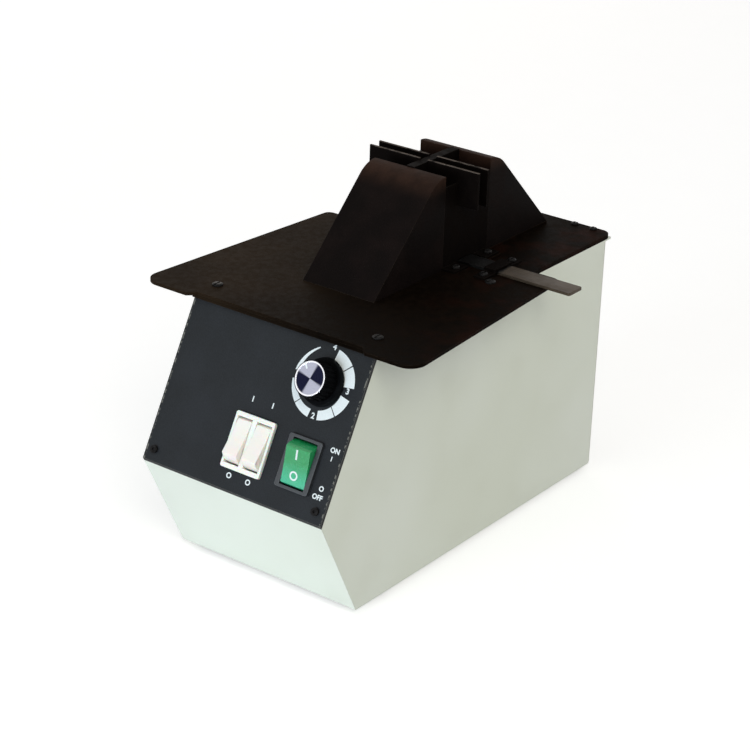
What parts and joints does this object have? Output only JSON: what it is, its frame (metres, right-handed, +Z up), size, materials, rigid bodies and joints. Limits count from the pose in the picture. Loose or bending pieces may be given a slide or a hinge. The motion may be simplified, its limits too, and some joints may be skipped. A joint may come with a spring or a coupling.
{
  "type": "eyeglass frame warmer",
  "caption": "Shop counter frame warmer: sheet-metal cabinet with a leaning control panel, wide shelf, twin-hood hot air outlet with fins, and a sliding damper lever.",
  "frame": {"origin": "on the counter, on the cabinet's middle plane, below its bottom front edge", "axes": "+X to the user's right, +Y to the back, +Z up"},
  "size_m": [0.1775, 0.253, 0.1952],
  "materials": {
    "cream_paint": "semi-gloss light powder coat",
    "black_plate": "matte black enamel",
    "shelf_black": "worn matt heat-proof black",
    "tower_black": "matt heat-proof black",
    "bare_steel": "dull rolled steel",
    "zinc_steel": "zinc plated",
    "dark_screw": "blackened",
    "stack_steel": "laminated electrical steel",
    "copper_wire": "enamelled copper winding",
    "tab_brass": "bright",
    "spun_aluminium": "spun",
    "rubber_foot": "matt",
    "black_plastic": "moulded",
    "white_plastic": "moulded",
    "green_plastic": "translucent moulded",
    "wheel_plastic": "moulded",
    "mica": "mica board"
  },
  "bodies": {
    "housing": {"cabinet": "cream_paint", "base_plate": "zinc_steel", "base_screws": "dark_screw", "feet": "rubber_foot", "back_panel": "cream_paint", "back_screws": "dark_screw", "control_panel": "black_plate", "panel_screws": "dark_screw", "lid": "shelf_black", "lid_screws": "dark_screw", "shelf": "shelf_black", "shelf_screws": "dark_screw", "front_hood": "tower_black", "rear_hood": "tower_black", "hood_screws": "zinc_steel", "chimney_left": "tower_black", "chimney_right": "tower_black", "chimney_screws": "zinc_steel", "fin_front": "tower_black", "fin_rear": "tower_black", "fin_bridge": "tower_black", "lever_guide": "tower_black", "guide_screws": "zinc_steel", "speed_control": "zinc_steel", "control_nut": "zinc_steel", "white_switch": "white_plastic", "white_terminals": "tab_brass", "green_switch": "black_plastic", "green_terminals": "tab_brass", "heater_duct": "zinc_steel", "duct_screws": "zinc_steel", "heater_cards": "mica", "heater_coil": "bare_steel", "thermal_cutout": "black_plastic", "scroll": "zinc_steel", "scroll_cover": "zinc_steel", "scroll_screws": "zinc_steel", "motor_stack": "stack_steel", "motor_coil": "copper_wire", "motor_brackets": "zinc_steel", "motor_studs": "zinc_steel", "mains_inlet": "black_plastic", "inlet_pins": "tab_brass", "inlet_screws": "dark_screw"},
    "knob_group": {"knob": "black_plastic", "knob_cap": "spun_aluminium", "control_shaft": "zinc_steel"},
    "white_rocker_left": {"white_rocker_left": "white_plastic"},
    "white_rocker_right": {"white_rocker_right": "white_plastic"},
    "green_rocker": {"green_rocker": "green_plastic"},
    "damper": {"damper": "bare_steel"},
    "blower_rotor": {"blower_wheel": "wheel_plastic", "rotor": "stack_steel", "shaft": "zinc_steel"}
  },
  "joints": [
    {"name": "knob_turn", "type": "hinge", "parent": "housing", "child": "knob_group", "pos_m": [0.0333, 0.00091, 0.12038], "axis": [0, -0.8838, 0.4679], "range_deg": [0, 300]},
    {"name": "white_left_rock", "type": "hinge", "parent": "housing", "child": "white_rocker_left", "pos_m": [-0.003, -0.0153, 0.0825], "axis": [1, 0, 0], "range_deg": [0, 28]},
    {"name": "white_right_rock", "type": "hinge", "parent": "housing", "child": "white_rocker_right", "pos_m": [0.0092, -0.0153, 0.0825], "axis": [1, 0, 0], "range_deg": [0, 28]},
    {"name": "green_rock", "type": "hinge", "parent": "housing", "child": "green_rocker", "pos_m": [0.0352, -0.01544, 0.08224], "axis": [1, 0, 0], "range_deg": [-28, 0]},
    {"name": "damper_slide", "type": "slide", "parent": "housing", "child": "damper", "axis": [1, 0, 0], "range_m": [-0.006, 0]},
    {"name": "blower_spin", "type": "hinge", "parent": "housing", "child": "blower_rotor", "pos_m": [0, 0.1595, 0.047], "axis": [1, 0, 0], "continuous": true}
  ]
}
